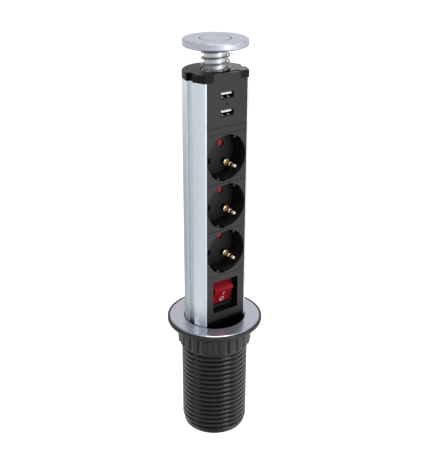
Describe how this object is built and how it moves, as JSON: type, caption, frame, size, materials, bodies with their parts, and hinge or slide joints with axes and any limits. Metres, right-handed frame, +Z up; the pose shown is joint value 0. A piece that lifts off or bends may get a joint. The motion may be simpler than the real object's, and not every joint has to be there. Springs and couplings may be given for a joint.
{
  "type": "pop up desk socket",
  "caption": "Round power tower that slides up through a flanged threaded sleeve in a desk, with earthed outlets, USB ports, a rocker switch and a sprung cap.",
  "frame": {"origin": "the desk surface under the flange, on the axis of the desk hole", "axes": "+Z up along the tower, -Y the way the outlets face, +X to the right of someone facing the outlets"},
  "size_m": [0.0848, 0.0848, 0.3589],
  "materials": {
    "black_moulding": "fine satin black moulding",
    "gloss_black": "polished black moulding",
    "charcoal_moulding": "satin charcoal moulding",
    "anodised_aluminium": "clear anodised, drawn along its length",
    "satin_silver": "satin silver",
    "washer_rubber": "soft black",
    "dark_screw": "blackened steel",
    "nickel_shell": "nickel plated",
    "white_insulator": "white insulating plastic",
    "brass_contact": "bright brass",
    "board_green": "solder mask",
    "transformer_tape": "insulating tape",
    "capacitor_can": "sleeved can",
    "rocker_red": "translucent red rocker",
    "shutter_red": "red shutter",
    "spring_steel": "bright spring wire"
  },
  "bodies": {
    "sleeve": {"threaded_sleeve": "black_moulding", "mounting_flange": "black_moulding", "trim_ring": "satin_silver", "guide_rails": "charcoal_moulding"},
    "tower": {"tower_profile": "anodised_aluminium", "top_end_cap": "gloss_black", "bottom_end_cap": "black_moulding", "top_cap_screws": "dark_screw", "bottom_cap_screws": "dark_screw", "usb_front_plate": "charcoal_moulding", "usb_port_shells": "nickel_shell", "usb_port_tongues": "white_insulator", "usb_contacts": "brass_contact", "usb_circuit_board": "board_green", "usb_light": "white_insulator", "charger_transformer": "transformer_tape", "charger_capacitors": "capacitor_can", "spacer_plate": "charcoal_moulding", "live_busbar": "brass_contact", "neutral_busbar": "brass_contact", "earth_busbar": "brass_contact", "switch_plate": "charcoal_moulding", "switch_frame": "gloss_black", "switch_body": "black_moulding", "switch_terminals": "brass_contact", "lower_blank_plate": "charcoal_moulding", "cable_gland": "black_moulding", "stem_post": "satin_silver", "post_screw": "dark_screw", "lift_spring": "spring_steel", "socket_insert_1": "charcoal_moulding", "earth_pin_1": "brass_contact", "contact_carrier_1": "black_moulding", "contact_clips_1": "brass_contact", "socket_insert_2": "charcoal_moulding", "earth_pin_2": "brass_contact", "contact_carrier_2": "black_moulding", "contact_clips_2": "brass_contact", "socket_insert_3": "charcoal_moulding", "earth_pin_3": "brass_contact", "contact_carrier_3": "black_moulding", "contact_clips_3": "brass_contact"},
    "washer": {"clamp_washer": "washer_rubber"},
    "nut": {"clamp_nut": "black_moulding"},
    "cap": {"cap_disc": "satin_silver", "cap_stem": "satin_silver"},
    "switch_rocker": {"rocker": "rocker_red"},
    "outlet_shutter_1": {"shutter_1": "shutter_red"},
    "outlet_shutter_2": {"shutter_2": "shutter_red"},
    "outlet_shutter_3": {"shutter_3": "shutter_red"}
  },
  "joints": [
    {"name": "tower_slide", "type": "slide", "parent": "sleeve", "child": "tower", "axis": [0, 0, 1], "range_m": [-0.2372, 0]},
    {"name": "cap_press", "type": "slide", "parent": "tower", "child": "cap", "axis": [0, 0, 1], "range_m": [-0.009, 0], "stiffness_N_per_m": 600, "springref_m": 0.006, "deforming": ["lift_spring"]},
    {"name": "rocker_tilt", "type": "hinge", "parent": "tower", "child": "switch_rocker", "pos_m": [0, -0.005, 0.03065], "axis": [1, 0, 0], "range_deg": [-46, 0]},
    {"name": "shutter_1_slide", "type": "slide", "parent": "tower", "child": "outlet_shutter_1", "axis": [-0.7193, 0, 0.6947], "range_m": [0, 0.0065], "stiffness_N_per_m": 150, "springref_m": -0.003},
    {"name": "shutter_2_slide", "type": "slide", "parent": "tower", "child": "outlet_shutter_2", "axis": [-0.7193, 0, 0.6947], "range_m": [0, 0.0065], "stiffness_N_per_m": 150, "springref_m": -0.003},
    {"name": "shutter_3_slide", "type": "slide", "parent": "tower", "child": "outlet_shutter_3", "axis": [-0.7193, 0, 0.6947], "range_m": [0, 0.0065], "stiffness_N_per_m": 150, "springref_m": -0.003},
    {"name": "washer_slide", "type": "slide", "parent": "sleeve", "child": "washer", "axis": [0, 0, 1], "range_m": [-0.045, 0]},
    {"name": "nut_turn", "type": "hinge", "parent": "washer", "child": "nut", "pos_m": [0, 0, -0.0137], "axis": [0, 0, 1], "range_deg": [-3376, 0]}
  ],
  "couplings": [
    {"joint": "nut_turn", "follows": "washer_slide", "rad_per_m": 1309}
  ]
}
